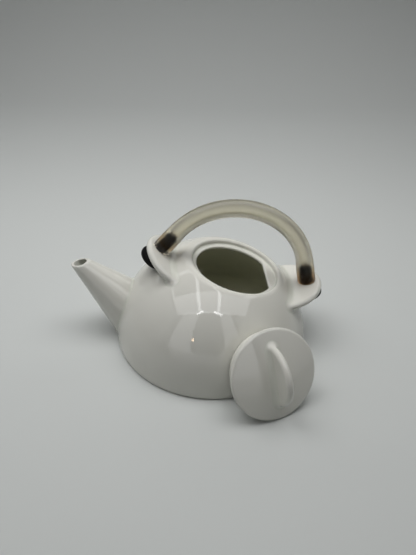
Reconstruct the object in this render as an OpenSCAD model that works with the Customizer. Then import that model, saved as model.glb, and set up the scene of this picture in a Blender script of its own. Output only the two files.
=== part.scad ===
// Teapot: a slip-cast porcelain half sphere whose top is cut on a slant, with two
// upturned ears and a lid that lifts out. The straight cone spout is cast by itself
// and luted on over the strainer holes. A bent length of clear hose is the handle, and
// each end of it is held on its ear by a push-in plug with a domed head.
// Units are millimetres, +Z is up, and the spout points to -X.

/* [Pot] */
// Outer radius of the half sphere
pot_r = 80; // [70:1:90]
// Height of the sphere's centre above the table
centre_z = -3; // [-5:0.5:0]
// Thickness of the cast wall
wall = 4.5; // [3.5:0.5:6]
// Slant of the cut top, falling towards the back
top_tilt = 13.5; // [8:0.5:18]
// Distance from the sphere's centre to the cut top
top_h = 68.8; // [66:0.1:70]
// Radius that softens the outer edge of the cut top
lip_round = 6; // [3:0.5:8]
// Shift of the mouth, ears and handle along the cut top, away from the spout
top_shift = 2.2; // [0:0.2:4]
// Depth of the hollow under the foot ring
foot_hollow = 1.5; // [1:0.5:3]

/* [Lid seat] */
// Radius of the seat's floor
seat_r = 33.6; // [33:0.1:35]
// Depth of the seat below the cut top
seat_depth = 2.8; // [2:0.1:3.5]
// Radius of the round mouth inside the seat
mouth_r = 29.8; // [28:0.1:31]
// Distance from the mouth's middle to the straight ledge at its back
ledge_x = 25.9; // [25.4:0.1:27]

/* [Ears] */
// Distance of each hose end from the axis of the mouth
foot_u = 59.5; // [58:0.1:62]
// Height of each hose end above the sphere's centre, along that axis
foot_w = 69.5; // [67:0.1:71]
// Upturn of each ear, which is also the inward lean of the hose ends
ear_lean = 27; // [24:1:30]
// Radius of an ear's round outline
ear_r = 26; // [24:0.5:28]
// Distance from the hose end back to the middle of the ear's outline
ear_back = 14.8; // [12:0.2:17]
// Thickness of an ear
ear_t = 5.5; // [4:0.5:7]

/* [Spout] */
// Middle of the spout's tip, along X and Z
tip_at = [-105.4, 63.9];
// Fall of the spout's axis from the tip to the pot
spout_fall = 49.2; // [45:0.2:54]
// Outer radius at the tip
tip_r = 6.2; // [5.5:0.1:7]
// Outer growth of the radius for each millimetre along the spout
spout_flare = 0.288; // [0.25:0.002:0.31]
// Radius of the channel at the tip
channel_r = 4.2; // [3.8:0.1:4.6]
// Slant of the tip's cut from level, facing away from the pot
tip_cut = 10; // [0:1:20]
// Number of strainer holes in the ring around the middle one
strainer_n = 6; // [5:1:7]
// Diameter of a strainer hole
strainer_d = 5; // [3:0.5:6]

/* [Handle] */
// Outer diameter of the hose
hose_d = 13; // [12:0.5:14]
// Outer diameter where a plug spreads the hose
hose_end_d = 14.8; // [14.2:0.2:16]
// Bore of the hose
hose_bore = 6.2; // [5.6:0.2:7]
// Top of the hose's centre line, measured as foot_w is
hose_top = 117.7; // [112:0.1:124]
// Height of a plug's shank above the ear
shank_h = 16; // [12:1:18]
// Radius of a plug's domed head
head_r = 11; // [9:0.2:11.6]
// Height of that head
head_h = 9.6; // [8.6:0.2:11]

/* [Lid] */
// Radius of the lid at its widest
lid_r = 32.6; // [32:0.1:33]
// Radius of the lid's soft edge, half its thickness there
lid_edge = 2.4; // [2:0.1:3]
// Rise of the lid's crown above its widest circle
lid_crown = 3.8; // [3:0.1:6]
// Outer radius of the collar that drops into the mouth
collar_r = 27.8; // [27:0.1:28.4]
// Bottom of the collar below the lid's widest circle
collar_drop = 14; // [12:0.5:14]
// Thickness of the collar
collar_t = 4; // [3:0.5:5]
// Radius of the half-round grip
grip_r = 23; // [20:0.5:26]
// Thickness of the grip
grip_t = 5; // [4:0.5:7]

/* [Lid beside the pot] */
// Middle of the leaning lid, along X and Y
lid_at = [42.28, -80.43];
// Lean of the lid back from upright
lid_lean = 29.5; // [29.5:0.1:32]
// Turn of the lid towards the back of the pot
lid_turn = 21.9; // [21:0.1:23]

/* [Hidden] */
$fn = 96;
BIG = 400;               // larger than the whole teapot
STEPS = 5;               // straight runs in each small rounding of a profile
FIT = 0.05;              // play of a plug's shank in the hose
HAIR = 0.04;             // extra wall, each way, where a straight end laps the arc
floor_z = foot_hollow + 4.5;              // inner floor above the table
foot_in_r = pot_r - 16;                   // inner radius of the foot ring
foot_round = 2;                           // rounding under the outer edge of the foot
seat_w = top_h - seat_depth;              // seat floor along the top's axis
shelf_w = seat_w - wall;                  // underside of the shelf that carries the seat
spout_len = pot_r;                        // length of the cone, which ends inside the pot
channel_flare = spout_flare - 0.018;      // the channel widens less than the outside
plug_hole_r = 4.2;                        // hole through each ear
spread_h = 12;                            // height to which a plug spreads the hose
taper_h = 5;                              // height over which the hose narrows again
shank_r = hose_bore / 2 - FIT;
head_round = 4;                           // rounded shoulder of a plug's head
catch_w = 14;                             // catch on the lid's collar, under the seated ledge
catch_t = 3;
catch_x = ledge_x + 1;                    // reach of the catch from the lid's middle
catch_low = lid_edge + wall + 0.5 + catch_t;  // bottom of the catch below the widest circle
// The hose's arc meets its two straight ends smoothly at this radius
hose_r = (foot_u * cos(ear_lean) + (foot_w - hose_top) * sin(ear_lean)) / (1 - sin(ear_lean));
hose_c = hose_top - hose_r;
hose_straight = norm([foot_u - hose_r * cos(ear_lean), foot_w - hose_c - hose_r * sin(ear_lean)]);
// Lowest point of the leaning lid's round edge lies on the table
lid_z = (lid_r - lid_edge) * cos(lid_lean) + lid_edge;

// Points of an arc round c from angle a0 to a1
function arc(c, r, a0, a1, n = STEPS) =
    [for (i = [0:n]) c + r * [cos(a0 + (a1 - a0) * i / n), sin(a0 + (a1 - a0) * i / n)]];

// Frame of the cut top: origin at the sphere's centre, +Z along the slanted axis
module on_top() translate([0, 0, centre_z]) rotate([0, top_tilt, 0]) children();

// Frame of the mouth and handle, shifted along the cut top
module on_mouth() on_top() translate([top_shift, 0, 0]) children();

// Frame of a hose end: origin on the ear's face, +Z along the hose, side -1 or 1
module on_ear(side)
    on_mouth() translate([side * foot_u, 0, foot_w]) rotate([0, -side * ear_lean, 0]) children();

// Frame of the spout: origin at the tip, +Z down the axis towards the pot
module on_spout() translate([tip_at[0], 0, tip_at[1]]) rotate([0, 90 + spout_fall, 0]) children();

// Everything above z = h
module above(h) translate([-BIG / 2, -BIG / 2, h]) cube(BIG);

// Round plate with a half-round edge, centred on the origin
module soft_plate(r, t)
    rotate_extrude()
        polygon(concat([[0, -t / 2]], arc([r - t / 2, 0], t / 2, -90, 90, 8), [[0, t / 2]]));

// Half sphere with a softened lip round its slanted top
module dome() {
    lip_x = sqrt(pow(pot_r - lip_round, 2) - pow(top_h - lip_round, 2));
    lip_a = atan2(top_h - lip_round, lip_x);
    intersection() {
        translate([0, 0, centre_z]) sphere(pot_r);
        above(0);
        on_top() rotate_extrude()
            polygon(concat([[0, -BIG / 2], [BIG / 2, -BIG / 2], [BIG / 2, 0]],
                           arc([lip_x, top_h - lip_round], lip_round + 0.02, lip_a, 90),
                           [[0, top_h + 0.02]]));
    }
}

// Ear: a thick disc with a round edge, half buried in the dome
module ear(side)
    on_ear(side) translate([-side * ear_back, 0, -ear_t / 2]) soft_plate(ear_r, ear_t);

// Outside of the spout, cut nearly level at its tip
module spout_cone()
    difference() {
        on_spout() translate([0, 0, -2 * tip_r])
            cylinder(h = spout_len + 2 * tip_r, r1 = tip_r * (1 - 2 * spout_flare),
                     r2 = tip_r + spout_len * spout_flare);
        translate([tip_at[0], 0, tip_at[1]]) rotate([0, -tip_cut, 0]) above(0);
    }

// Channel in the spout
module spout_channel()
    difference() {
        on_spout() translate([0, 0, -2 * tip_r])
            cylinder(h = spout_len + 2 * tip_r, r1 = channel_r - 2 * tip_r * channel_flare,
                     r2 = channel_r + spout_len * channel_flare);
        mirror([0, 0, 1]) above(-floor_z);
    }

// Holes that hold the leaves back, pierced straight through the wall behind the spout
module strainer() {
    ring_r = 9.6;
    rise = 24;
    translate([0, 0, centre_z]) rotate([0, -90 + rise, 0]) {
        cylinder(h = pot_r + 6, d = strainer_d);
        for (i = [0:strainer_n - 1])
            rotate([0, 0, i * 360 / strainer_n]) translate([ring_r, 0, 0])
                cylinder(h = pot_r + 6, d = strainer_d);
    }
}

// Space inside the pot, under the shelf that carries the lid's seat
module cavity()
    intersection() {
        translate([0, 0, centre_z]) sphere(pot_r - wall);
        above(floor_z);
        on_top() mirror([0, 0, 1]) above(-shelf_w);
    }

// Seat for the lid: a shallow round step with a hollow corner and a rounded brim
module seat() {
    corner = 1.2;
    brim = seat_depth - corner;
    rotate_extrude()
        polygon(concat([[0, seat_w]],
                       arc([seat_r - corner, seat_w + corner], corner, -90, 0),
                       arc([seat_r + brim, seat_w + corner], brim, 180, 90),
                       [[seat_r + brim, top_h + 5], [0, top_h + 5]]));
}

// Mouth: round, but for a straight ledge at the back that the lid's tongue hooks under
module mouth()
    intersection() {
        translate([0, 0, shelf_w - 20]) cylinder(h = 40, r = mouth_r);
        translate([ledge_x - BIG, -BIG / 2, 0]) cube(BIG);
    }

// Foot: a shallow hollow inside the ring, and a rounded outer edge
module foot_cut() {
    edge_r = sqrt(pot_r * pot_r - pow(foot_round - centre_z, 2)) - foot_round;
    translate([0, 0, -1]) cylinder(h = 1 + foot_hollow, r1 = foot_in_r + 1, r2 = foot_in_r - foot_hollow);
    rotate_extrude()
        polygon(concat([[edge_r, -1], [edge_r, 0]],
                       arc([edge_r, foot_round], foot_round, -90, -2),
                       [[pot_r + 40, foot_round], [pot_r + 40, -1]]));
}

module pot() {
    color("white") difference() {
        union() {
            dome();
            ear(-1);
            ear(1);
        }
        foot_cut();
        cavity();
        on_mouth() seat();
        on_mouth() mouth();
        intersection() {
            strainer();
            translate([-pot_r - 3, -20, floor_z + 1]) cube([25, 40, 60]);
        }
        for (side = [-1, 1]) on_ear(side) translate([0, 0, -ear_t - 5]) cylinder(h = ear_t + 10, r = plug_hole_r);
    }
}

// Spout: its wide end is trimmed to the pot's outside, which closes the channel's root
module spout()
    color("white") difference() {
        intersection() {
            spout_cone();
            above(foot_round);
        }
        spout_channel();
        translate([0, 0, centre_z]) sphere(pot_r);
    }

// Lid in its own frame: +Z out of its crown, the flat side of its collar towards +X
module lid_shape() {
    crown_r = (lid_r * lid_r + lid_crown * lid_crown) / (2 * lid_crown);
    flat_x = ledge_x - 0.9;
    seam = 50;  // keeps the start of each round surface clear of the others' edges
    ring_in = collar_r - collar_t;
    difference() {
        union() {
            rotate([0, 0, seam]) intersection() {
                union() {
                    soft_plate(lid_r, 2 * lid_edge);
                    cylinder(h = BIG, r = lid_r - lid_edge);
                }
                translate([0, 0, lid_crown - crown_r]) sphere(crown_r);
                above(-lid_edge);
            }
            intersection() {
                translate([0, 0, -collar_drop]) cylinder(h = collar_drop, r = collar_r);
                translate([flat_x - BIG, -BIG / 2, -BIG / 2]) cube(BIG);
            }
            intersection() {
                rotate([90, seam, 0]) soft_plate(grip_r, grip_t);
                above(-lid_edge / 2);
            }
            translate([0, -catch_w / 2, -catch_low]) cube([catch_x, catch_w, catch_t]);
        }
        translate([0, 0, -collar_drop - 1]) intersection() {
            cylinder(h = 1 + collar_drop - lid_edge, r = ring_in);
            translate([flat_x - collar_t - BIG, -BIG / 2, -BIG / 2]) cube(BIG);
        }
    }
}

// Lid, lying off the pot: it stands on its edge, flat side down, and leans on the pot
module lid()
    color("white") translate([lid_at[0], lid_at[1], lid_z])
        rotate([90 - lid_lean, 0, lid_turn]) rotate([0, 0, -90]) lid_shape();

// Hose: an arc between two straight ends, which stand square on the ears and are
// spread by their plugs.
module handle_hose() {
    lap = 1;
    color("darkkhaki") {
        on_mouth() translate([0, 0, hose_c]) rotate([90, 0, 0]) rotate([0, 0, ear_lean])
            rotate_extrude(angle = 180 - 2 * ear_lean) translate([hose_r, 0]) difference() {
                circle(d = hose_d);
                circle(d = hose_bore + 2 * HAIR);
            }
        for (side = [-1, 1]) on_ear(side) rotate_extrude()
            polygon([[hose_bore / 2, 0], [hose_end_d / 2, 0], [hose_end_d / 2, spread_h],
                     [hose_d / 2 + HAIR, spread_h + taper_h],
                     [hose_d / 2 + HAIR, hose_straight + lap], [hose_bore / 2, hose_straight + lap]]);
    }
}

// Plug's head, under z = 0: a rounded shoulder that runs into a domed bottom
module plug_head() {
    in = head_r - head_round;
    deep = head_h - 2 * head_round;
    rise = (in * in - deep * deep) / (2 * deep);
    a = -atan2(rise, in);
    rotate_extrude()
        polygon(concat([[0, 0]],
                       arc([in, -head_round], head_round, 90, a, 8),
                       arc([0, rise - head_round], rise + head_h - head_round, a, -90)));
}

// Plug: a round-nosed shank up through the ear into the hose, and a soft head below,
// which is pressed flat where it meets the pot's wall
module plug(side) {
    color("black") {
        on_ear(side) {
            translate([0, 0, -ear_t]) cylinder(h = ear_t + shank_h - shank_r, r = shank_r);
            translate([0, 0, shank_h - shank_r]) sphere(shank_r);
        }
        difference() {
            on_ear(side) translate([0, 0, -ear_t]) plug_head();
            translate([0, 0, centre_z]) sphere(pot_r + FIT);
        }
    }
}

module spout_side_plug() plug(-1);

module back_plug() plug(1);

pot();
spout();
lid();
handle_hose();
spout_side_plug();
back_plug();
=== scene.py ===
import bpy
import numpy as np
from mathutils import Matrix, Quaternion, Vector


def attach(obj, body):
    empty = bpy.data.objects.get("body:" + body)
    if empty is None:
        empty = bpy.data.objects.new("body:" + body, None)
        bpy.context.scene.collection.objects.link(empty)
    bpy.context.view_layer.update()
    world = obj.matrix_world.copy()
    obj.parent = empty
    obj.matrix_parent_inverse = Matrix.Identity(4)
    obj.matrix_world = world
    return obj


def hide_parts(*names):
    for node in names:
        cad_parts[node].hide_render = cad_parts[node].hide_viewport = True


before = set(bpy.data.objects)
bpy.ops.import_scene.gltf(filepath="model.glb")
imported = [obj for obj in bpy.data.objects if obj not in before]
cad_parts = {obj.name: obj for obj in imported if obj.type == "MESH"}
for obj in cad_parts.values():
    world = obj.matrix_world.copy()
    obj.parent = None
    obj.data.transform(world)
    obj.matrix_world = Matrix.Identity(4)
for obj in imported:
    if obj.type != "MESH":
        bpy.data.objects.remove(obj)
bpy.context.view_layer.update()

# Camera: about 30 cm from the teapot's middle, looking down on it from the front, with
# the handle's plane square to the view and the horizon a little off level.
CAMERA_AT = Vector((-0.00639, -0.26278, 0.23958))
CAMERA_TO = Vector((-0.00305, 0.02943, 0.03000))
CAMERA_ROLL = np.radians(1.26)
SENSOR_MM, FOCAL_MM = 36.0, 26.01
NEAREST, FARTHEST = 0.01, 20.0

lens = bpy.data.cameras.new("camera")
lens.sensor_width, lens.lens = SENSOR_MM, FOCAL_MM
lens.clip_start, lens.clip_end = NEAREST, FARTHEST
camera = bpy.data.objects.new("camera", lens)
camera.rotation_mode = "QUATERNION"
camera.location = CAMERA_AT
aim = (CAMERA_TO - CAMERA_AT).to_track_quat("-Z", "Y")
camera.rotation_quaternion = aim @ Quaternion((0, 0, 1), CAMERA_ROLL)
bpy.context.scene.collection.objects.link(camera)
bpy.context.scene.camera = camera

# Table and backdrop: one sheet of pale grey card that lies flat under the teapot and
# sweeps up behind it in one wide bend, so no corner shows.
CARD_COLOUR = "#D1D4D2"
CARD_HALF_WIDTH = 2.5
CARD_FRONT, CARD_BEND, CARD_RADIUS, CARD_TOP = -2.5, 0.75, 0.6, 2.5
CARD_BEND_STEPS = 25


def linear(hex_colour):
    """An sRGB hex value as linear red, green, blue and alpha."""
    s = np.array([int(hex_colour[i:i + 2], 16) for i in (1, 3, 5)]) / 255
    return (*np.where(s <= 0.04045, s / 12.92, ((s + 0.055) / 1.055) ** 2.4), 1.0)


def add(tree, kind, settings=None, links=None):
    """One node of that kind, with its settings, its sockets' values and its links."""
    node = tree.nodes.new("ShaderNode" + kind)
    for name, value in (settings or {}).items():
        if name in node.inputs:
            node.inputs[name].default_value = value
        else:
            setattr(node, name, value)
    for name, source in (links or {}).items():
        tree.links.new(source, node.inputs[name])
    return node


def new_material(name):
    """An empty node material of that name, and its tree."""
    material = bpy.data.materials.new(name)
    material.use_nodes = True
    material.node_tree.nodes.clear()
    return material, material.node_tree


def new_object(name, points, faces, material, normals=None):
    """A smooth mesh object at the origin, of points in metres and faces that all have as many corners."""
    mesh = bpy.data.meshes.new(name)
    mesh.vertices.add(len(points))
    mesh.vertices.foreach_set("co", np.ascontiguousarray(points, np.float32).ravel())
    mesh.loops.add(faces.size)
    mesh.loops.foreach_set("vertex_index", np.ascontiguousarray(faces, np.int32).ravel())
    mesh.polygons.add(len(faces))
    mesh.polygons.foreach_set("loop_start", np.arange(0, faces.size, faces.shape[1], dtype=np.int32))
    mesh.update(calc_edges=True)
    mesh.validate()
    mesh.shade_smooth()
    if normals is not None:
        mesh.normals_split_custom_set_from_vertices(normals.tolist())
    mesh.materials.append(material)
    piece = bpy.data.objects.new(name, mesh)
    bpy.context.scene.collection.objects.link(piece)
    return piece


def card():
    """The profile goes along the table, round a quarter circle and straight up, and runs across in X."""
    turn = np.radians(np.linspace(-90, 0, CARD_BEND_STEPS))
    along = np.r_[CARD_FRONT, CARD_BEND + CARD_RADIUS * np.cos(turn), CARD_BEND + CARD_RADIUS]
    up = np.r_[0, CARD_RADIUS * (1 + np.sin(turn)), CARD_TOP]
    side = np.array([CARD_HALF_WIDTH, -CARD_HALF_WIDTH])
    points = np.stack([np.broadcast_to(side[:, None], (2, len(along))),
                       np.broadcast_to(along, (2, len(along))),
                       np.broadcast_to(up, (2, len(along)))], -1)
    i = np.arange(len(along) - 1)
    faces = np.stack([i, i + 1, i + 1 + len(along), i + len(along)], -1)
    return points.reshape(-1, 3), faces


# Uncoated card, pressed smooth: an even pale grey with hardly any shine, soft in its shadows.
card_paper, tree = new_material("matte_card")
shader = add(tree, "BsdfPrincipled", {"Base Color": linear(CARD_COLOUR), "Roughness": 0.85,
                                      "Specular IOR Level": 0.2})
add(tree, "OutputMaterial", links={"Surface": shader.outputs["BSDF"]})
backdrop = new_object("backdrop", *card(), card_paper)

# Light: a white tent that glows from its roof and sides, with two tubes under the roof and
# a small warm lamp just inside the front wall. A panel marked matt lights only matt
# surfaces, and one marked gloss shows only as a reflection or through the clear hose.
LAMPS = {  # name: middle, way it faces, width and height, radiance, and the light it gives
    "roof": ((-0.06, 0.07, 0.62), (0, 0, -1), (0.9, 0.32), 3.15, "matt"),
    "roof_glow": ((0.0, -0.05, 0.62), (0, 0, -1), (1.1, 0.70), 2.0, "gloss"),
    "back_roof": ((0.0, 0.74, 0.62), (0, 0, -1), (2.2, 0.4), 1.0, "both"),
    "left_side": ((-0.60, 0.0, 0.32), (1, 0, 0), (0.8, 0.6), 0.23, "both"),
    "right_side": ((0.60, 0.0, 0.32), (-1, 0, 0), (0.8, 0.6), 0.08, "both"),
    "front_wall": ((-0.14, -0.62, 0.60), (0, 1, 0), (1.1, 0.92), 1.3, "gloss"),
    "front_wall_foot": ((-0.10, -0.62, 0.07), (0, 1, 0), (1.0, 0.14), 0.6, "gloss"),
    "front_right": ((0.65, -0.42, 0.40), (-0.8, 0.6, 0), (0.5, 0.8), 0.45, "gloss"),
    "left_tube": ((-0.115, -0.09, 0.45), (0, 0, -1), (0.028, 0.35), 3.6, "both"),
    "right_tube": ((0.063, -0.10, 0.45), (0, 0, -1), (0.028, 0.35), 3.6, "both"),
    "left_tube_end": ((-0.118, -0.284, 0.45), (0, 0, -1), (0.085, 0.020), 9.0, "gloss"),
    "right_tube_end": ((0.062, -0.296, 0.45), (0, 0, -1), (0.085, 0.020), 9.0, "gloss"),
    "warm_lamp": ((-0.223, -0.55, 0.295), (0, 1, 0), (0.032, 0.036), 14.0, "gloss"),
}
TURNED = {"left_tube_end": np.radians(25), "right_tube_end": np.radians(-25)}
WARM, ROOM_GLOW = "#FFDCB4", 0.045

for name, (at, facing, size, radiance, gives) in LAMPS.items():
    lamp = bpy.data.lights.new(name, "AREA")
    lamp.shape, lamp.energy = "RECTANGLE", radiance * np.pi * size[0] * size[1]
    lamp.size, lamp.size_y = size
    holder = bpy.data.objects.new(name, lamp)
    holder.location = at
    holder.rotation_mode = "QUATERNION"
    spin = Quaternion((0, 0, 1), TURNED.get(name, 0))
    holder.rotation_quaternion = Vector(facing).to_track_quat("-Z", "Y") @ spin
    holder.visible_camera = False
    holder.visible_diffuse = gives != "gloss"
    holder.visible_glossy = holder.visible_transmission = gives != "matt"
    bpy.context.scene.collection.objects.link(holder)
bpy.data.lights["warm_lamp"].color = linear(WARM)[:3]

world = bpy.data.worlds.new("room")
bpy.context.scene.world = world
world.use_nodes = True
world.node_tree.nodes.clear()
room = add(world.node_tree, "Background", {"Color": linear("#FFFFFF"), "Strength": ROOM_GLOW})
add(world.node_tree, "OutputWorld", links={"Surface": room.outputs["Background"]})
bpy.context.scene.view_settings.view_transform = "Standard"

# Tent opening: a tall window with round corners in the tent's front wall, hung with
# black cloth. The camera doesn't see it, and the glaze mirrors it as a dark shape.
OPENING_X, OPENING_Z, OPENING_Y, OPENING_ROUND = (-0.265, 0.165), (0.14, 0.97), -0.60, 0.10
OPENING_CORNER_STEPS = 9
CLOTH_BLACK = "#141414"


def opening():
    """A rectangle with round corners, each a quarter circle, as a fan of faces round its middle."""
    turn = np.radians(np.linspace(0, 90, OPENING_CORNER_STEPS))
    middle = np.array([np.mean(OPENING_X), np.mean(OPENING_Z)])
    half = np.array([np.ptp(OPENING_X), np.ptp(OPENING_Z)]) / 2 - OPENING_ROUND
    corners = zip(np.arange(4) * np.pi / 2, ((1, 1), (-1, 1), (-1, -1), (1, -1)))
    rim = np.concatenate([
        middle + half * corner + OPENING_ROUND * np.stack([np.cos(turn + start), np.sin(turn + start)], -1)
        for start, corner in corners])
    rim = np.insert(np.concatenate([rim, [middle]]), 1, OPENING_Y, axis=1)
    i = np.arange(len(rim) - 1)
    return rim, np.stack([i, (i + 1) % len(i), np.full(len(i), len(i))], -1)


# Black cotton cloth, woven: a flat black with no shine at all, which swallows the light.
black_cloth, tree = new_material("black_cloth")
shader = add(tree, "BsdfDiffuse", {"Color": linear(CLOTH_BLACK)})
add(tree, "OutputMaterial", links={"Surface": shader.outputs["BSDF"]})
tent_opening = new_object("tent_opening", *opening(), black_cloth)
tent_opening.visible_camera = False

# Pot: white porcelain, slip-cast as a half sphere with its two ears. The spout is cast on
# its own and luted on over the strainer holes, and the lid's seat and the mouth are cut
# while leather-hard. A clear glaze covers all but the foot. From here on lengths are mm.
MM = 0.001  # _ROUND is the radius of a rounded edge, and _FILLET that of a hollow corner
POT_R, CENTRE_Z = 80.0, -3.0  # the sphere's middle lies just below the table
WALL, FLOOR_Z, FLOOR_FILLET, SHELF_FILLET, CAVITY_ROUND = 4.5, 6.0, 8.0, 2.0, 0.5
TOP_TILT, TOP_H, TOP_SHIFT, LIP_ROUND = np.radians(13.5), 69.8, 2.2, 8.0  # the slanted cut
SEAT_R, SEAT_DEPTH, SEAT_FILLET, SEAT_ROUND = 34.6, 3.8, 1.2, 2.2
MOUTH_R, MOUTH_OFF, MOUTH_REACH, MOUTH_ROUND = 30.9, 0.7, 8.0, 0.9
MOUTH_EDGE, UNDERCUT, UNDERCUT_SLOPE = 2.0, 4.0, 1.4  # below its edge the mouth widens at 45 degrees
LEDGE_X, LEDGE_TURN, LEDGE_CORNER = 26.0, np.radians(2.5), 0.4
EAR_U, EAR_W, EAR_LEAN = 59.5, 69.5, np.radians(27)  # the ears' holes, in the slanted cut's frame
EAR_R, EAR_BACK, EAR_T, EAR_FILLET, EAR_HOLE_R, EAR_HOLE_ROUND = 28.5, 17.3, 5.5, 3.0, 4.2, 0.5
TIP_AT, TIP_R, TIP_CUT, TIP_REACH, TIP_ROUND = np.array([-105.4, 0, 63.9]), 6.2, np.radians(10), 14.0, 0.9
SPOUT_FALL, SPOUT_FLARE, SPOUT_LEN, SPOUT_FILLET = np.radians(49.2), 0.288, 80.0, 1.6
CHANNEL_R, CHANNEL_FLARE, CHANNEL_ROUND = 4.2, 0.270, 0.8
STRAINER_D, STRAINER_RING, STRAINER_COUNT, STRAINER_RISE = 5.0, 9.6, 6, np.radians(24)
STRAINER_IN, STRAINER_OUT, STRAINER_ROUND = 12.0, 3.0, 0.4  # the holes' reach in and out of the sphere
FOOT_ROUND, FOOT_IN_R, FOOT_HOLLOW, FOOT_EDGE_ROUND = 2.0, 64.0, 1.5, 0.4
UNTOUCHED = -20.0  # a distance so deep inside that nothing is cut there


def turned(p, angle):
    """Points seen from a frame that is turned by that angle about +Y."""
    c, s = np.cos(angle), np.sin(angle)
    return np.stack([p[..., 0] * c - p[..., 2] * s, p[..., 1], p[..., 0] * s + p[..., 2] * c], -1)


def both(a, b, r):
    """Distance to what is inside both shapes, with their shared edge rounded to about radius r."""
    return np.minimum(np.maximum(a, b), -r) + np.hypot(np.maximum(a + r, 0), np.maximum(b + r, 0))


def either(a, b, r):
    """Distance to what is inside either shape, with a hollow fillet of about radius r between them."""
    return -both(-a, -b, r)


def without(a, b, r):
    """Distance to the first shape with the second cut out of it, and the cut's edge rounded."""
    return both(a, -b, r)


def plate(rho, z, r, t):
    """Distance to a round plate with a half-round edge: to its middle disc, less half its thickness."""
    return np.hypot(np.maximum(rho - r + t / 2, 0), z) - t / 2


def to_ear(p, side):
    """Points in the frame of one hose end: origin on the ear's face, +Z along the hose."""
    top = turned(p - [0, 0, CENTRE_Z], TOP_TILT) - [TOP_SHIFT + side * EAR_U, 0, EAR_W]
    return turned(top, -side * EAR_LEAN)


def pot_shape(p):
    """Distance from points to the pot's surface, below zero in the clay: a sphere cut by a plane with a
    soft lip, joined to two plates and a cone by fillets, less the cavity, seat, mouth, channel and holes."""
    centred = p - [0, 0, CENTRE_Z]
    top = turned(centred, TOP_TILT)
    far = np.linalg.norm(centred, axis=-1)
    rho, w = np.hypot(top[..., 0], top[..., 1]), top[..., 2]
    small_r, small_h = POT_R - LIP_ROUND, TOP_H - LIP_ROUND
    corner = np.sqrt(small_r ** 2 - small_h ** 2)
    at_corner = (w > small_h) & (rho > corner) & ((w - small_h) * corner > (rho - corner) * small_h)
    shape = np.where(at_corner, np.hypot(rho - corner, w - small_h),
                     np.maximum(far - small_r, w - small_h)) - LIP_ROUND

    spout = turned(p - TIP_AT, np.pi / 2 + SPOUT_FALL)
    ring, deep = np.hypot(spout[..., 0], spout[..., 1]), spout[..., 2]
    cone = (ring - TIP_R - SPOUT_FLARE * deep) / np.hypot(1, SPOUT_FLARE)
    shape = either(shape, np.maximum(cone, deep - SPOUT_LEN), SPOUT_FILLET)
    level = turned(p - TIP_AT, -TIP_CUT)[..., 2]
    shape = both(shape, np.where(p[..., 0] < TIP_AT[0] + TIP_REACH, level, UNTOUCHED), TIP_ROUND)
    for side in (-1, 1):
        ear = to_ear(p, side)
        back = np.hypot(ear[..., 0] + side * EAR_BACK, ear[..., 1])
        shape = either(shape, plate(back, ear[..., 2] + EAR_T / 2, EAR_R, EAR_T), EAR_FILLET)

    shape = both(shape, -p[..., 2], FOOT_ROUND)
    hollow = np.maximum(np.hypot(p[..., 0], p[..., 1]) - FOOT_IN_R + p[..., 2], p[..., 2] - FOOT_HOLLOW)
    shape = without(shape, hollow, FOOT_EDGE_ROUND)
    shelf = TOP_H - SEAT_DEPTH - WALL
    cavity = both(both(far - POT_R + WALL, FLOOR_Z - p[..., 2], FLOOR_FILLET), w - shelf, SHELF_FILLET)
    shape = without(shape, cavity, CAVITY_ROUND)
    seat = both(np.hypot(top[..., 0] - TOP_SHIFT, top[..., 1]) - SEAT_R, TOP_H - SEAT_DEPTH - w, SEAT_FILLET)
    shape = without(shape, seat, SEAT_ROUND)
    ledge = (top[..., 0] - TOP_SHIFT) * np.cos(LEDGE_TURN) + top[..., 1] * np.sin(LEDGE_TURN) - LEDGE_X
    mouth = np.hypot(top[..., 0] - TOP_SHIFT, top[..., 1] + MOUTH_OFF) - MOUTH_R
    under = np.clip(TOP_H - SEAT_DEPTH - MOUTH_EDGE - w, 0, UNDERCUT)
    mouth = (both(mouth, ledge, LEDGE_CORNER) - under) / UNDERCUT_SLOPE
    shape = without(shape, np.maximum(mouth, shelf - MOUTH_REACH - w), MOUTH_ROUND)

    channel = (ring - CHANNEL_R - CHANNEL_FLARE * deep) / np.hypot(1, CHANNEL_FLARE)
    channel = np.maximum(np.maximum(channel, POT_R - far), FLOOR_Z - p[..., 2])
    shape = without(shape, channel, CHANNEL_ROUND)
    pierced = turned(centred, STRAINER_RISE - np.pi / 2)
    spots = [(0.0, 0.0)] + [(STRAINER_RING * np.cos(a), STRAINER_RING * np.sin(a))
                            for a in np.arange(STRAINER_COUNT) * 2 * np.pi / STRAINER_COUNT]
    holes = np.min([np.hypot(pierced[..., 0] - x, pierced[..., 1] - y) for x, y in spots], 0)
    holes = holes - STRAINER_D / 2
    through = np.maximum(POT_R - STRAINER_IN - far, far - POT_R - STRAINER_OUT)
    shape = without(shape, np.maximum(holes, through), STRAINER_ROUND)
    for side in (-1, 1):
        ear = to_ear(p, side)
        hole = np.hypot(ear[..., 0], ear[..., 1]) - EAR_HOLE_R
        shape = without(shape, np.maximum(hole, np.abs(ear[..., 2] + EAR_T / 2) - EAR_T), EAR_HOLE_ROUND)
    return shape


def slope(shape, points, step=0.02):
    """The steepest upward direction of a distance at each point, by differences along X, Y and Z."""
    return np.stack([shape(points + d) - shape(points - d) for d in np.eye(3) * step], -1) / (2 * step)


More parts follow.
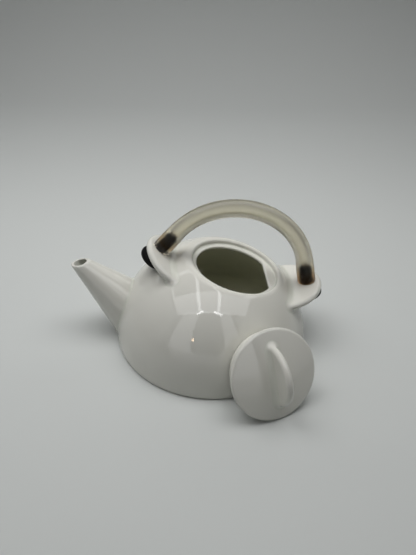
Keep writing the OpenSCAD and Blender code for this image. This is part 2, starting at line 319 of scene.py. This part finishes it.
def unpinch(value, flip=-0.001, rounds=3):
    """Where the signs at the four corners of a cell's side alternate, two sheets of the surface would
    share an edge there, so the corner nearest to the surface changes its sign and nears zero."""
    corners = ((0, 0), (0, 1), (1, 1), (1, 0))
    for axis in (0, 1, 2) * rounds:
        side = np.moveaxis(value, axis, 0)
        rows, columns = side.shape[1] - 1, side.shape[2] - 1
        four = np.stack([side[:, i:i + rows, j:j + columns] for i, j in corners])
        a, b, c, d = four < 0
        for at in np.argwhere((a == c) & (b == d) & (a != b)):
            i, j = corners[np.abs(four[(slice(None), *at)]).argmin()]
            side[at[0], at[1] + i, at[2] + j] *= flip


def skin(shape, xs, ys, zs, slides=4, least_slope=0.5):
    """The surface where a distance is zero, as points, faces and normals. Each cell of a grid that the
    surface crosses gives one point, each grid line that it crosses gives one face round it, and the
    points then slide down the slope onto the surface itself."""
    value = np.stack([shape(np.stack(np.meshgrid([x], ys, zs, indexing="ij"), -1))[0] for x in xs])
    unpinch(value)
    axes = (xs, ys, zs)
    cells = tuple(n - 1 for n in value.shape)
    total, hits = np.zeros((*cells, 3)), np.zeros(cells, np.int32)

    def corner(offset):
        """The values at one corner of every cell."""
        return value[tuple(slice(s, s + n) for s, n in zip(offset, cells))]

    for axis, i, j in np.ndindex(3, 2, 2):
        low, high = np.insert([i, j], axis, 0), np.insert([i, j], axis, 1)
        a, b = corner(low), corner(high)
        cell = np.nonzero((a < 0) != (b < 0))
        share = a[cell] / (a[cell] - b[cell])
        start = np.stack([axes[k][cell[k] + low[k]] for k in range(3)], -1)
        start[:, axis] += share * (axes[axis][cell[axis] + 1] - axes[axis][cell[axis]])
        total[cell] += start
        hits[cell] += 1
    used = hits > 0
    number = np.full(cells, -1)
    number[used] = np.arange(used.sum())
    points = total[used] / hits[used][:, None]

    faces = []
    for axis in range(3):
        here = value.take(range(value.shape[axis] - 1), axis) < 0
        ahead = value.take(range(1, value.shape[axis]), axis) < 0
        at = np.stack(np.nonzero(here != ahead), -1)
        j, k = np.eye(3, dtype=int)[[(axis + 1) % 3, (axis + 2) % 3]]
        loop = np.stack([number[tuple((at - o).T)] for o in (j + k, k, 0 * j, j)], -1)
        outward = here[tuple(at.T)]
        faces.append(np.where(outward[:, None], loop, loop[:, ::-1]))
    for _ in range(slides):
        g = slope(shape, points)
        points -= (shape(points) / np.maximum((g * g).sum(-1), least_slope ** 2))[:, None] * g
    g = slope(shape, points)
    return points, np.concatenate(faces), g / np.linalg.norm(g, axis=-1, keepdims=True)


def steps(*parts):
    """Grid places from stretches of (start, spacing), the last one a bare end."""
    runs = [np.linspace(a, b, max(2, round((b - a) / d) + 1))[:-1]
            for (a, d), b in zip(parts[:-1], [q[0] for q in parts[1:-1]] + [parts[-1]])]
    return np.r_[np.concatenate(runs), parts[-1]]


# The grid reaches just past the pot on every side, and is closer where the edges are fine.
GRID, GRID_TOP, GRID_TIP, GRID_FOOT = 1.4, 0.9, 0.8, 0.7
pot_points, pot_faces, pot_normals = skin(
    pot_shape, steps((-114, GRID_TIP), (-96, GRID), 91.0),
    steps((-82, GRID), (-8, GRID_TOP), (8, GRID), 82.0),
    steps((-1.05, GRID_FOOT), (3, GRID), (54, GRID_TOP), 88.0))

# Clear glaze fired on white porcelain: a wet, mirror-like gloss over a warm white. It looks
# a little greener where it pools in hollows, the inside is painted a darker, yellower white
# as painted shade, and the bare foot is dull and creamy. The whites drift over about 45 mm
# and the gloss waves over about 17 mm.
GLAZE_WHITE, GLAZE_WHITE_LOW = "#E0DFD7", "#DDDCD4"
# The second white here is painted shade: a darker, yellower white for the pot's shaded inside.
GLAZE_POOLED, INSIDE_SHADE_WHITE, BARE_CLAY = "#D8D9CF", "#DBDBC9", "#E1D9C8"
DRIFT_SCALE, WAVE_SCALE = 22.0, 60.0  # per metre
GLAZE_ROUGH, CLAY_ROUGH = 0.035, 0.75
POOL_GAIN, INSIDE_SHADE_REACH, BARE_TOP, BARE_FADE = 5.0, 2.0, 0.45, 0.3

glaze, tree = new_material("glazed_porcelain")
place = add(tree, "TexCoord").outputs["Object"]
drift = add(tree, "TexNoise", {"Scale": DRIFT_SCALE, "Detail": 2.0}, {"Vector": place})
tone = add(tree, "ValToRGB", links={"Fac": drift.outputs["Fac"]})
for mark, hex_colour in zip(tone.color_ramp.elements, (GLAZE_WHITE_LOW, GLAZE_WHITE)):
    mark.color = linear(hex_colour)
colour, masks = tone.outputs["Color"], {}
# One layer paints shade: the darker, yellower white inside the pot below the shelf.
for layer, hex_colour in (("pooled", GLAZE_POOLED), ("painted_inside_shade", INSIDE_SHADE_WHITE), ("bare", BARE_CLAY)):
    masks[layer] = add(tree, "Attribute", {"attribute_name": layer}).outputs["Fac"]
    mix = add(tree, "Mix", {"data_type": "RGBA"}, {0: masks[layer], 6: colour})
    mix.inputs[7].default_value = linear(hex_colour)
    colour = mix.outputs[2]
rough = add(tree, "MapRange", {"To Min": GLAZE_ROUGH, "To Max": CLAY_ROUGH}, {"Value": masks["bare"]})
wave = add(tree, "TexNoise", {"Scale": WAVE_SCALE, "Detail": 1.0}, {"Vector": place})
bump = add(tree, "Bump", {"Strength": 0.03, "Distance": 0.002}, {"Height": wave.outputs["Fac"]})
shader = add(tree, "BsdfPrincipled", {"IOR": 1.5},
             {"Base Color": colour, "Roughness": rough.outputs["Result"], "Normal": bump.outputs["Normal"]})
add(tree, "OutputMaterial", links={"Surface": shader.outputs["BSDF"]})


def curvature(shape, points, step=0.6):
    """Sum of a distance's second differences, in 1/mm: above zero on a ridge, below zero in a hollow."""
    return sum(shape(points + d) + shape(points - d) - 2 * shape(points)
               for d in np.eye(3) * step) / step ** 2


def glazed(name, points, faces, normals, bend, inside_shade, bare_clay):
    """A porcelain piece, with its glaze pooled by how hollow the surface is there, painted shade on its
    inside and bare clay at its foot.
    """
    piece = new_object(name, points * MM, faces, glaze, normals)
    for layer, value in (("pooled", -POOL_GAIN * bend), ("painted_inside_shade", inside_shade), ("bare", bare_clay)):
        values = piece.data.attributes.new(layer, "FLOAT", "POINT").data
        values.foreach_set("value", np.clip(value, 0, 1).astype(np.float32))
    return piece


centred = pot_points - [0, 0, CENTRE_Z]
# Painted shade: the pot's inside below the shelf is given the darker, yellower white.
inside = np.clip(POT_R - WALL + INSIDE_SHADE_REACH - np.linalg.norm(centred, axis=1), 0, 1)
inside *= pot_points[:, 2] > FLOOR_Z - INSIDE_SHADE_REACH
under_shelf = (TOP_H - SEAT_DEPTH - turned(centred, TOP_TILT)[:, 2]) / WALL
pot_piece = glazed("porcelain_pot", pot_points, pot_faces, pot_normals, curvature(pot_shape, pot_points),
                   inside * under_shelf, (BARE_TOP - pot_points[:, 2]) / BARE_FADE)
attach(pot_piece, "pot")
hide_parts("pot", "spout")

# Lid: cast in one piece of the same glazed porcelain, a crowned disc with a half-round fin
# to hold it by, and below it a collar with one flat side and a catch. It stands on its edge
# and leans on the pot.
LID_R, LID_EDGE, LID_CROWN, LID_ROUND, LID_UNDER_ROUND = 32.6, 2.4, 3.8, 2.4, 2.0
FIN_R, FIN_T, FIN_FILLET = 21.6, 5.0, 3.2
COLLAR_R, COLLAR_DROP, COLLAR_T, COLLAR_TOP, FLAT_X = 27.8, 14.0, 4.0, 1.8, 25.0
COLLAR_CORNER, COLLAR_ROUND, COLLAR_FILLET = 1.5, 1.2, 1.5
INSIDE_CORNER, INSIDE_FILLET, INSIDE_ROUND = 2.0, 1.5, 1.2
CATCH_HALF, CATCH_X, CATCH_IN, CATCH_LOW, CATCH_T = 7.0, 26.9, 10.0, 10.4, 3.0
CATCH_CORNER, CATCH_ROUND = 1.0, 0.8
LID_AT, LID_LEAN, LID_TURN = np.array([42.28, -80.43]), np.radians(29.5), np.radians(21.9)
LID_GRID = 0.8


def lid_shape(p):
    """Distance to the lid in its own frame, +Z out of its crown and the collar's flat side at +X: a round
    plate under a shallow dome, joined by a fillet to an upright round plate, and a ring below."""
    x, y, z = np.moveaxis(p, -1, 0)
    rho = np.hypot(x, y)
    dome_r = (LID_R ** 2 + LID_CROWN ** 2) / (2 * LID_CROWN)
    dome = np.sqrt(rho ** 2 + (z + dome_r - LID_CROWN) ** 2) - dome_r
    disc = both(both(dome, rho - LID_R, LID_ROUND), -z - LID_EDGE, LID_UNDER_ROUND)
    fin = np.maximum(plate(np.hypot(x, z), y, FIN_R, FIN_T), -z)
    shape = either(disc, fin, FIN_FILLET)
    collar = both(both(rho - COLLAR_R, x - FLAT_X, COLLAR_CORNER), -z - COLLAR_DROP, COLLAR_ROUND)
    tongue = np.abs(z + CATCH_LOW - CATCH_T / 2) - CATCH_T / 2
    catch = both(both(np.abs(y) - CATCH_HALF, x - CATCH_X, CATCH_CORNER), tongue, CATCH_ROUND)
    collar = either(np.maximum(collar, z + COLLAR_TOP), np.maximum(catch, CATCH_IN - x), CATCH_ROUND)
    shape = either(shape, collar, COLLAR_FILLET)
    inside = both(both(rho - COLLAR_R + COLLAR_T, x - FLAT_X + COLLAR_T, INSIDE_CORNER), z + LID_EDGE,
                  INSIDE_FILLET)
    return without(shape, inside, INSIDE_ROUND)


def leaning(p):
    """Points or directions of the lid's own frame, turned as the lid leans: its +X points down the slope."""
    level = np.array([np.sin(LID_TURN), -np.cos(LID_TURN), 0])
    out = level * np.cos(LID_LEAN) + [0, 0, np.sin(LID_LEAN)]
    down = level * np.sin(LID_LEAN) - [0, 0, np.cos(LID_LEAN)]
    return p @ np.stack([down, np.cross(out, down), out])


lid_points, lid_faces, lid_normals = skin(
    lid_shape, steps((-34, LID_GRID), 34.0), steps((-34, LID_GRID), 34.0), steps((-15.5, LID_GRID), 24.5))
lid_z = (LID_R - LID_EDGE) * np.cos(LID_LEAN) + LID_EDGE
# The lid has no painted shade and no bare clay.
unmarked = np.zeros(len(lid_points))
lid_piece = glazed("porcelain_lid", leaning(lid_points) + [*LID_AT, lid_z], lid_faces,
                   leaning(lid_normals), curvature(lid_shape, lid_points), unmarked, unmarked)
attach(lid_piece, "lid")
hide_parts("lid")

# Hose: a cut length of extruded clear PVC, gone smoky olive with age and yellower near the
# ends, bent into an arch. Each end is spread a little by the plug pushed up into it, and
# its bore draws in to a narrow neck just past the plug's nose.
HOSE_D, HOSE_END_D, HOSE_BORE, HOSE_TOP = 13.0, 14.2, 6.2, 117.7
SPREAD_H, TAPER_H, END_ROUND, END_ZONE = 6.0, 22.0, 0.8, 24.0
SHANK_R, SHANK_H, GRIP = 3.0, 16.0, 0.12
NECK_R, NECK_OPENS, NECK_LAP = 1.2, 3.0, 0.4
HOSE_AROUND, END_RINGS, MIDDLE_RINGS = 96, 100, 180
HOSE_R = (EAR_U * np.cos(EAR_LEAN) + (EAR_W - HOSE_TOP) * np.sin(EAR_LEAN)) / (1 - np.sin(EAR_LEAN))
HOSE_C = HOSE_TOP - HOSE_R
HOSE_STRAIGHT = np.hypot(EAR_U - HOSE_R * np.cos(EAR_LEAN),
                         EAR_W - HOSE_C - HOSE_R * np.sin(EAR_LEAN))
HOSE_LEN = 2 * HOSE_STRAIGHT + HOSE_R * (np.pi - 2 * EAR_LEAN)


def from_mouth(p):
    """Points of the slanted mouth's frame, as points of the whole teapot."""
    return turned(p + [TOP_SHIFT, 0, 0], -TOP_TILT) + [0, 0, CENTRE_Z]


def hose_line(s):
    """Middle of the hose, and the way out from the arch, at a length s along it from the back ear: a
    straight end, an arc and the other straight end."""
    turn = EAR_LEAN + np.clip((s - HOSE_STRAIGHT) / HOSE_R, 0, np.pi - 2 * EAR_LEAN)
    extra = np.minimum(s - HOSE_STRAIGHT, 0) + np.maximum(s - HOSE_LEN + HOSE_STRAIGHT, 0)
    out = np.stack([np.cos(turn), 0 * turn, np.sin(turn)], -1)
    ahead = np.stack([-np.sin(turn), 0 * turn, np.cos(turn)], -1)
    return HOSE_R * out + extra[:, None] * ahead + [0, 0, HOSE_C], out


def tube_faces(rows, around, closed):
    """Faces of four corners between rings of points, each ring with as many; a closed tube joins its
    last ring to its first."""
    i, j = np.meshgrid(np.arange(rows if closed else rows - 1), np.arange(around), indexing="ij")
    n, m = (i + 1) % rows, (j + 1) % around
    return np.stack([i * around + j, i * around + m, n * around + m, n * around + j], -1).reshape(-1, 4)


def hose_surface():
    """A closed tube: its outside from one end to the other and its bore back again, each ring a circle
    across the middle line."""
    start = np.linspace(0, END_ZONE, END_RINGS)
    s = np.r_[start, np.linspace(END_ZONE, HOSE_LEN - END_ZONE, MIDDLE_RINGS)[1:-1], HOSE_LEN - start[::-1]]
    end = np.minimum(s, HOSE_LEN - s)
    spread = 0.5 + 0.5 * np.cos(np.pi * ((end - SPREAD_H) / TAPER_H).clip(0, 1))
    edge = 1 - np.sqrt(1 - (1 - end / END_ROUND).clip(0, 1) ** 2)
    outer = (HOSE_D + (HOSE_END_D - HOSE_D) * spread) / 2 - END_ROUND * edge
    nose = np.sqrt(np.clip(SHANK_R ** 2 - np.clip(end - SHANK_H + SHANK_R, 0, SHANK_R) ** 2, 0, None))
    clear = ((end - SHANK_H + NECK_LAP) / NECK_OPENS).clip(0, 1)
    neck = NECK_R + (HOSE_BORE / 2 - NECK_R) * np.sqrt(1 - (1 - clear) ** 2)
    bore = np.maximum(nose - GRIP, neck)
    length, radius = np.r_[s, s[::-1]], np.r_[outer, bore[::-1]]
    middle, out = hose_line(length)
    angle = np.linspace(0, 2 * np.pi, HOSE_AROUND, endpoint=False)
    ring = np.cos(angle)[:, None] * out[:, None] + np.sin(angle)[:, None] * np.array([0, 1.0, 0])
    points = from_mouth((middle[:, None] + radius[:, None, None] * ring).reshape(-1, 3))
    return points * MM, tube_faces(len(length), HOSE_AROUND, True), np.repeat(length / HOSE_LEN, HOSE_AROUND)


# Clear plasticised PVC, extruded and aged: see-through but softly blurred, with little
# shine and smoky olive where the wall is thick. From 15 to 7 mm before each end it yellows
# to honey. The last 7 mm turn amber at the back end, and colourless at the spout's side.
PVC_AMBER, PVC_HONEY, PVC_CLEAR, PVC_COLOURLESS = "#B98A5E", "#C9AC84", "#F7F4EA", "#FFFFFF"
PVC_SMOKE, SMOKE_DENSITY, PVC_SHINE = "#CCC18C", 19.0, "#404040"
HONEY_AT, CLEAR_AT = 0.04, 0.09  # as shares of the hose's length

pvc, tree = new_material("smoked_clear_pvc")
tint = add(tree, "Attribute", {"attribute_name": "along"})
ramp = add(tree, "ValToRGB", links={"Fac": tint.outputs["Fac"]})
ends = ramp.color_ramp.elements
ends[0].color, ends[1].color = linear(PVC_AMBER), linear(PVC_COLOURLESS)
for at, hex_colour in ((HONEY_AT, PVC_HONEY), (CLEAR_AT, PVC_CLEAR),
                       (1 - CLEAR_AT, PVC_CLEAR), (1 - HONEY_AT, PVC_HONEY)):
    ends.new(at).color = linear(hex_colour)
shader = add(tree, "BsdfPrincipled", {"Roughness": 0.32, "IOR": 1.52, "Transmission Weight": 0.97,
                                      "Specular Tint": linear(PVC_SHINE)},
             {"Base Color": ramp.outputs["Color"]})
smoke = add(tree, "VolumeAbsorption", {"Color": linear(PVC_SMOKE), "Density": SMOKE_DENSITY})
add(tree, "OutputMaterial", links={"Surface": shader.outputs["BSDF"], "Volume": smoke.outputs["Volume"]})

points, faces, along = hose_surface()
hose = new_object("clear_hose", points, faces, pvc)
hose.data.attributes.new("along", "FLOAT", "POINT").data.foreach_set("value", along.astype(np.float32))
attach(hose, "pot")
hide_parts("handle_hose")

# Plugs: moulded black rubber. A round-nosed shank goes up through the ear into the hose,
# and the soft mushroom head below sits a little forward and is squeezed flat where it
# meets the pot's wall.
HEAD_R, HEAD_H, HEAD_ROUND, HEAD_OFF = 10.9, 9.6, 4.0, 1.8
SHANK_ROOT, WALL_GAP, SLACK = 0.6, 0.05, 0.01
PLUG_AROUND, DOME_RINGS, SHOULDER_RINGS, NOSE_RINGS = 72, 16, 20, 12


def arc(r, z, radius, start, end, count):
    """A profile's points on a circle about r and z, from one angle to another."""
    a = np.linspace(start, end, count)
    return np.stack([r + radius * np.cos(a), z + radius * np.sin(a)], -1)


def plug_surface(side):
    """A profile turned about the hose's end: a domed head, a rounded shoulder, a straight shank and a
    half-round nose, with one point at each pole. What would lie in the pot's wall is pushed out of it."""
    inset, deep = HEAD_R - HEAD_ROUND, HEAD_H - 2 * HEAD_ROUND
    rise = (inset ** 2 - deep ** 2) / (2 * deep)
    low = -np.arctan2(rise, inset)
    profile = np.concatenate([
        arc(0, rise - HEAD_ROUND - EAR_T, rise + HEAD_H - HEAD_ROUND, -np.pi / 2, low, DOME_RINGS),
        arc(inset, -HEAD_ROUND - EAR_T, HEAD_ROUND, low, np.pi / 2, SHOULDER_RINGS)[1:],
        [[SHANK_R + SHANK_ROOT, -EAR_T], [SHANK_R, SHANK_ROOT - EAR_T], [SHANK_R, SHANK_H - SHANK_R]],
        arc(0, SHANK_H - SHANK_R, SHANK_R, 0, np.pi / 2, NOSE_RINGS)[1:]])
    rows, poles = profile[1:-1], profile[[0, -1], 1]
    angle = np.linspace(0, 2 * np.pi, PLUG_AROUND, endpoint=False)
    points = np.stack([rows[:, :1] * np.cos(angle), rows[:, :1] * np.sin(angle),
                       np.broadcast_to(rows[:, 1:], (len(rows), PLUG_AROUND))], -1)
    points = np.concatenate([points.reshape(-1, 3), [[0, 0, poles[0]], [0, 0, poles[1]]]])
    in_head = points[:, 2] < SLACK - EAR_T
    points[:, 1] -= HEAD_OFF * in_head
    points = turned(points, side * EAR_LEAN) + [side * EAR_U, 0, EAR_W]
    points = from_mouth(points) - [0, 0, CENTRE_Z]
    far = np.linalg.norm(points, axis=-1, keepdims=True)
    points = points * np.maximum(1, (POT_R + WALL_GAP) / far) + [0, 0, CENTRE_Z]

    sides = tube_faces(len(rows), PLUG_AROUND, False)
    j = np.arange(PLUG_AROUND)
    m, last = (j + 1) % PLUG_AROUND, (len(rows) - 1) * PLUG_AROUND
    head_pole, nose_pole = len(points) - 2, len(points) - 1
    caps = [np.stack([np.full(PLUG_AROUND, head_pole), m, j], -1),
            np.stack([last + j, last + m, np.full(PLUG_AROUND, nose_pole)], -1)]
    return points * MM, np.concatenate([sides[:, [0, 1, 2]], sides[:, [0, 2, 3]], *caps])


# Carbon-black rubber, moulded in a blasted tool: near black, with a dim, broad sheen and a
# grain of about 1 mm, which is coarser than the real one so that it shows.
RUBBER_BLACK, GRAIN_SCALE = "#060606", 900.0  # the scale is per metre

rubber, tree = new_material("black_rubber")
place = add(tree, "TexCoord").outputs["Object"]
grain = add(tree, "TexNoise", {"Scale": GRAIN_SCALE, "Detail": 3.0}, {"Vector": place})
bump = add(tree, "Bump", {"Strength": 0.15, "Distance": 0.0003}, {"Height": grain.outputs["Fac"]})
rough = add(tree, "MapRange", {"To Min": 0.42, "To Max": 0.6}, {"Value": grain.outputs["Fac"]})
shader = add(tree, "BsdfPrincipled", {"Base Color": linear(RUBBER_BLACK), "Specular IOR Level": 0.12},
             {"Roughness": rough.outputs["Result"], "Normal": bump.outputs["Normal"]})
add(tree, "OutputMaterial", links={"Surface": shader.outputs["BSDF"]})
for side, node in ((-1, "spout_side_plug"), (1, "back_plug")):
    plug = new_object("rubber_" + node, *plug_surface(side), rubber)
    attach(plug, "pot")
    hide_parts(node)
